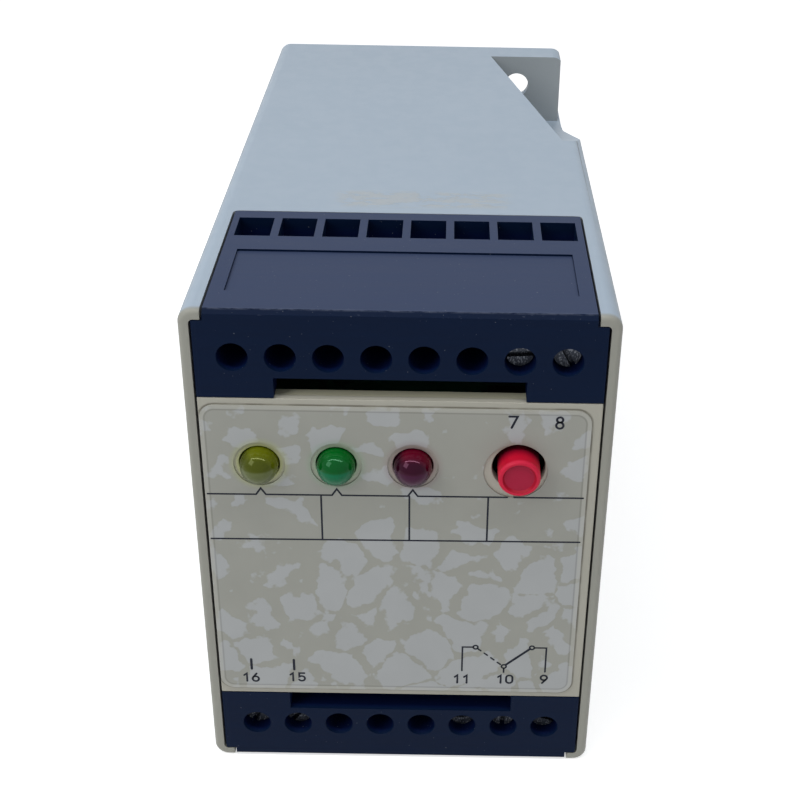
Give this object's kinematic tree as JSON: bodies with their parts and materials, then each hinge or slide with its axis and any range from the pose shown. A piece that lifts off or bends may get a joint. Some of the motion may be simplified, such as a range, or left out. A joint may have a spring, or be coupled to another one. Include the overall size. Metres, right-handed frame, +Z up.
{
  "type": "leak detection controller",
  "caption": "Rail-mounted leak detection controller: grey moulded case, navy terminal blocks top and bottom, labelled front with lamps and a red push button.",
  "frame": {"origin": "middle of the footprint, on the underside of the case, which is the lower narrow side it stands on", "axes": "+X to the right as seen from the front, +Y from the front towards the mounting rail, +Z up"},
  "size_m": [0.055, 0.113, 0.075],
  "materials": {
    "case_plastic": "fine satin moulding, pale grey",
    "latch_plastic": "dark moulded nylon",
    "block_plastic": "satin moulding, navy",
    "plate_plastic": "satin moulding, beige grey",
    "label_film": "clear glossy film over blotchy glue",
    "yellow_lens": "tinted clear epoxy",
    "green_lens": "tinted clear epoxy",
    "red_lens": "tinted clear epoxy",
    "red_plastic": "semi-gloss moulding",
    "white_plastic": "moulded nylon",
    "black_plastic": "moulded, satin",
    "relay_plastic": "moulded cover, satin blue",
    "capacitor_sleeve": "shrink sleeve",
    "film_capacitor_plastic": "moulded box",
    "varistor_lacquer": "dipped lacquer",
    "resistor_lacquer": "dipped lacquer",
    "ceramic_lacquer": "dipped lacquer",
    "ribbon_plastic": "flexible wire covering",
    "board_laminate": "green lacquered laminate",
    "screw_steel": "zinc plated",
    "spring_steel": "bright wire",
    "tinned_wire": "tinned",
    "tinned_brass": "tinned brass",
    "lamination_steel": "varnished sheet stack",
    "winding_wire": "enamelled copper wire"
  },
  "bodies": {
    "case": {"housing": "case_plastic", "latch_spring": "spring_steel", "upper_terminal_block": "block_plastic", "lower_terminal_block": "block_plastic", "upper_terminal_screws": "screw_steel", "lower_terminal_screws": "screw_steel", "upper_terminal_sleeves": "tinned_brass", "lower_terminal_sleeves": "tinned_brass", "front_plate": "plate_plastic", "front_label": "label_film", "lamp_yellow": "yellow_lens", "lamp_green": "green_lens", "lamp_red": "red_lens", "lamp_leads": "tinned_wire", "lamp_spacers": "black_plastic", "button_switch": "black_plastic", "button_spring": "spring_steel", "button_switch_pins": "tinned_wire", "transformer_core": "lamination_steel", "transformer_bobbin": "black_plastic", "transformer_windings": "winding_wire", "transformer_pins": "tinned_wire", "relay": "relay_plastic", "relay_leads": "tinned_wire", "smoothing_capacitor": "capacitor_sleeve", "smoothing_capacitor_leads": "tinned_wire", "bridge_rectifier": "black_plastic", "bridge_rectifier_leads": "tinned_wire", "voltage_regulator": "black_plastic", "voltage_regulator_leads": "tinned_wire", "suppression_capacitor": "film_capacitor_plastic", "suppression_capacitor_leads": "tinned_wire", "varistor": "varistor_lacquer", "varistor_leads": "tinned_wire", "lower_header": "black_plastic", "upper_header": "black_plastic", "lower_header_pins": "tinned_wire", "upper_header_pins": "tinned_wire", "ribbon_cable": "ribbon_plastic", "comparator_chip": "black_plastic", "comparator_chip_legs": "tinned_wire", "resistors": "resistor_lacquer", "resistor_leads": "tinned_wire", "diodes": "black_plastic", "diode_leads": "tinned_wire", "ceramic_capacitors": "ceramic_lacquer", "ceramic_capacitor_leads": "tinned_wire", "driver_transistor": "black_plastic", "driver_transistor_leads": "tinned_wire", "display_board": "board_laminate", "link_pins": "tinned_wire", "main_board": "board_laminate", "signal_board": "board_laminate"},
    "button": {"button_cap": "red_plastic", "button_plunger": "white_plastic"},
    "latch": {"rail_latch": "latch_plastic"}
  },
  "joints": [
    {"name": "button_press", "type": "slide", "parent": "case", "child": "button", "axis": [0, 1, 0], "range_m": [0, 0.002], "stiffness_N_per_m": 600, "springref_m": -0.0015, "deforming": ["button_spring"]},
    {"name": "latch_slide", "type": "slide", "parent": "case", "child": "latch", "axis": [0, 0, -1], "range_m": [0, 0.003], "stiffness_N_per_m": 1500, "springref_m": -0.0015, "deforming": ["latch_spring"]}
  ]
}
